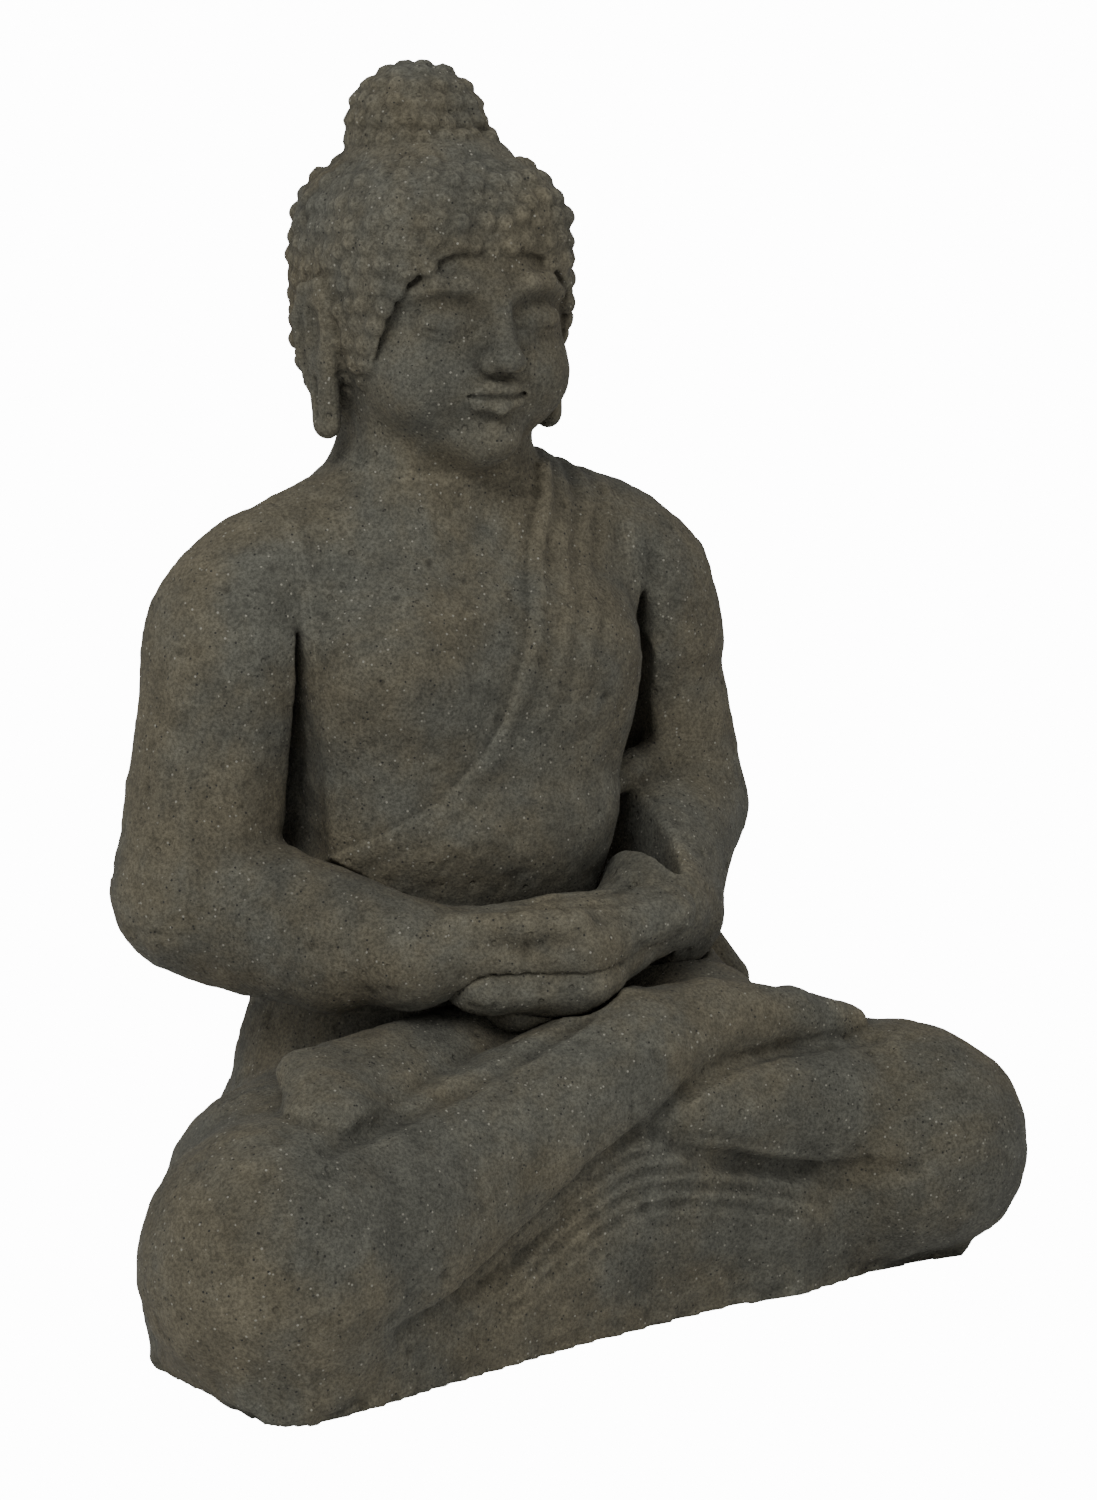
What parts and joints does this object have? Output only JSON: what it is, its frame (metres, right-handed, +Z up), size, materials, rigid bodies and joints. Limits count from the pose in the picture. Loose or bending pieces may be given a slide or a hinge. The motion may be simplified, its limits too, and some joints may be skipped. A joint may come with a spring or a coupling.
{
  "type": "seated buddha statue",
  "caption": "Cross-legged seated buddha garden figure in dark cast stone, hands resting in the lap, cast in sections on steel dowels.",
  "frame": {"origin": "on the ground, under the middle of the flat base", "axes": "+Z up, -Y the way the figure faces, +X the figure's left"},
  "size_m": [0.321, 0.208, 0.4],
  "materials": {
    "cast_stone": "matte weathered dark grey-brown cast stone with pale sand specks and pinholes",
    "bedding_mortar": "matte mortar tinted to match the stone",
    "dowel_steel": "plain steel bar"
  },
  "bodies": {
    "root": {"crossed_legs": "cast_stone", "torso": "cast_stone", "head": "cast_stone", "right_arm": "cast_stone", "left_arm": "cast_stone", "waist_dowels": "dowel_steel", "neck_dowel": "dowel_steel", "right_shoulder_dowel": "dowel_steel", "left_shoulder_dowel": "dowel_steel", "hand_pin": "dowel_steel", "waist_mortar": "bedding_mortar", "neck_mortar": "bedding_mortar", "right_shoulder_mortar": "bedding_mortar", "left_shoulder_mortar": "bedding_mortar", "lap_mortar": "bedding_mortar", "hand_mortar": "bedding_mortar", "left_elbow_mortar": "bedding_mortar"}
  },
  "joints": []
}
